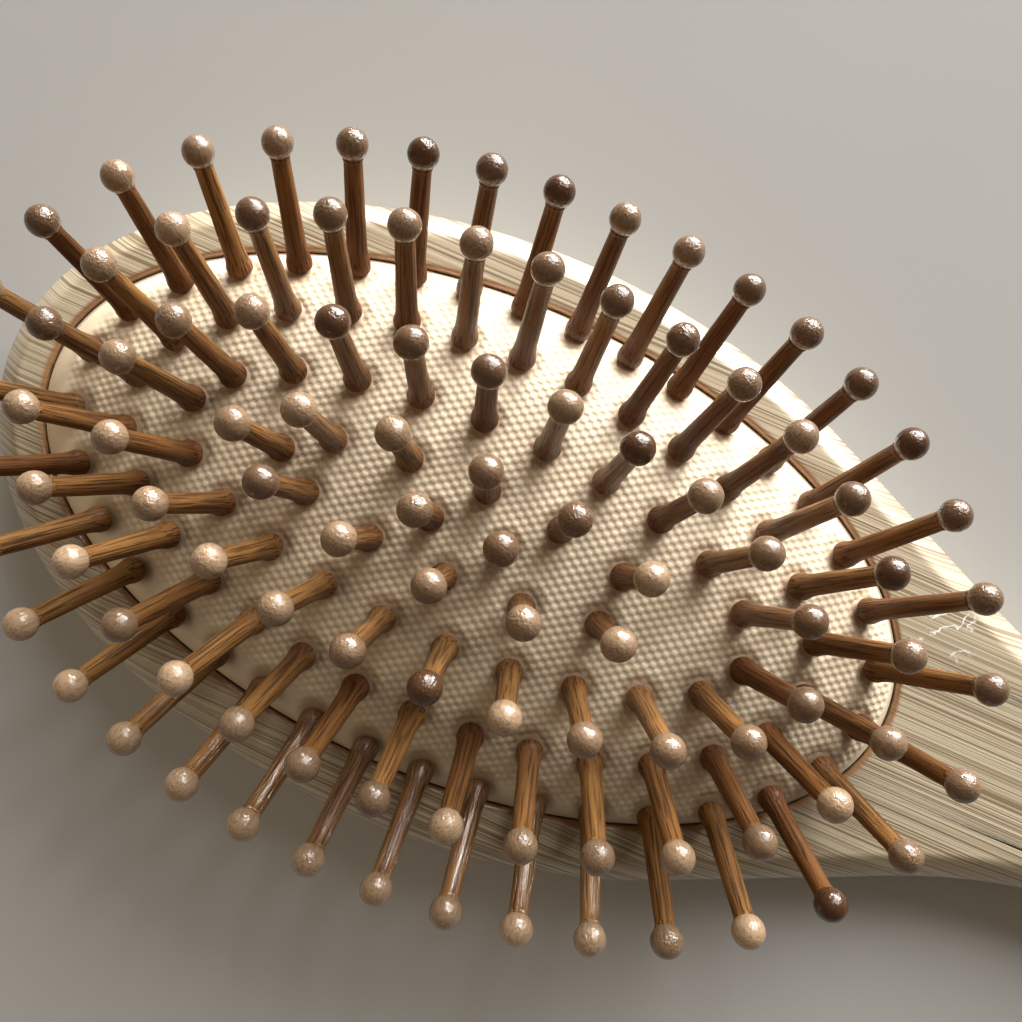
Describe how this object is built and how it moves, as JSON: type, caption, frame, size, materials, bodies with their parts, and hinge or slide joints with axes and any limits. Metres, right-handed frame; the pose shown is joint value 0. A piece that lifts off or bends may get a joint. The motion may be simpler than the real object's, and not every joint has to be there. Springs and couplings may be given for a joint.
{
  "type": "cushion hairbrush",
  "caption": "Oval cushion hairbrush: a bamboo body and handle, a domed rubber cushion, and ball-tipped wooden pins that spring back when pressed.",
  "frame": {"origin": "centre of the flat back face, halfway along the whole brush and halfway across it", "axes": "+X along the brush from the head towards the end of the handle, +Z out of the side with the pins, +Y across the brush"},
  "size_m": [0.225, 0.0742, 0.038],
  "materials": {
    "bamboo": "satin lacquer",
    "rubber": "matt, fine mesh texture",
    "pin_wood": "gloss lacquer"
  },
  "bodies": {
    "brush_body": {"bamboo_body": "bamboo", "cushion": "rubber"},
    "core_pins": {"pin_core_01": "pin_wood", "pin_core_02": "pin_wood"},
    "inner_pins": {"pins_inner_01": "pin_wood", "pins_inner_02": "pin_wood", "pins_inner_03": "pin_wood", "pins_inner_04": "pin_wood", "pins_inner_05": "pin_wood", "pins_inner_06": "pin_wood"},
    "third_pins": {"pins_third_01": "pin_wood", "pins_third_02": "pin_wood", "pins_third_03": "pin_wood", "pins_third_04": "pin_wood", "pins_third_05": "pin_wood", "pins_third_06": "pin_wood", "pins_third_07": "pin_wood", "pins_third_08": "pin_wood", "pins_third_09": "pin_wood", "pins_third_10": "pin_wood", "pins_third_11": "pin_wood"},
    "second_pins": {"pins_second_01": "pin_wood", "pins_second_02": "pin_wood", "pins_second_03": "pin_wood", "pins_second_04": "pin_wood", "pins_second_05": "pin_wood", "pins_second_06": "pin_wood", "pins_second_07": "pin_wood", "pins_second_08": "pin_wood", "pins_second_09": "pin_wood", "pins_second_10": "pin_wood", "pins_second_11": "pin_wood", "pins_second_12": "pin_wood", "pins_second_13": "pin_wood", "pins_second_14": "pin_wood", "pins_second_15": "pin_wood"},
    "outer_pins": {"pins_outer_01": "pin_wood", "pins_outer_02": "pin_wood", "pins_outer_03": "pin_wood", "pins_outer_04": "pin_wood", "pins_outer_05": "pin_wood", "pins_outer_06": "pin_wood", "pins_outer_07": "pin_wood", "pins_outer_08": "pin_wood", "pins_outer_09": "pin_wood", "pins_outer_10": "pin_wood", "pins_outer_11": "pin_wood", "pins_outer_12": "pin_wood", "pins_outer_13": "pin_wood", "pins_outer_14": "pin_wood", "pins_outer_15": "pin_wood", "pins_outer_16": "pin_wood", "pins_outer_17": "pin_wood", "pins_outer_18": "pin_wood"}
  },
  "joints": [
    {"name": "core_press", "type": "slide", "parent": "brush_body", "child": "core_pins", "axis": [0, 0, -1], "range_m": [0, 0.004], "stiffness_N_per_m": 400, "deforming": ["cushion"]},
    {"name": "inner_press", "type": "slide", "parent": "brush_body", "child": "inner_pins", "axis": [0, 0, -1], "range_m": [0, 0.00384], "stiffness_N_per_m": 60},
    {"name": "third_press", "type": "slide", "parent": "brush_body", "child": "third_pins", "axis": [0, 0, -1], "range_m": [0, 0.00336], "stiffness_N_per_m": 80},
    {"name": "second_press", "type": "slide", "parent": "brush_body", "child": "second_pins", "axis": [0, 0, -1], "range_m": [0, 0.0024], "stiffness_N_per_m": 100},
    {"name": "outer_press", "type": "slide", "parent": "brush_body", "child": "outer_pins", "axis": [0, 0, -1], "range_m": [0, 0.00114], "stiffness_N_per_m": 120}
  ],
  "couplings": [
    {"joint": "inner_press", "follows": "core_press", "ratio": 0.96},
    {"joint": "third_press", "follows": "core_press", "ratio": 0.84},
    {"joint": "second_press", "follows": "core_press", "ratio": 0.6},
    {"joint": "outer_press", "follows": "core_press", "ratio": 0.285}
  ]
}
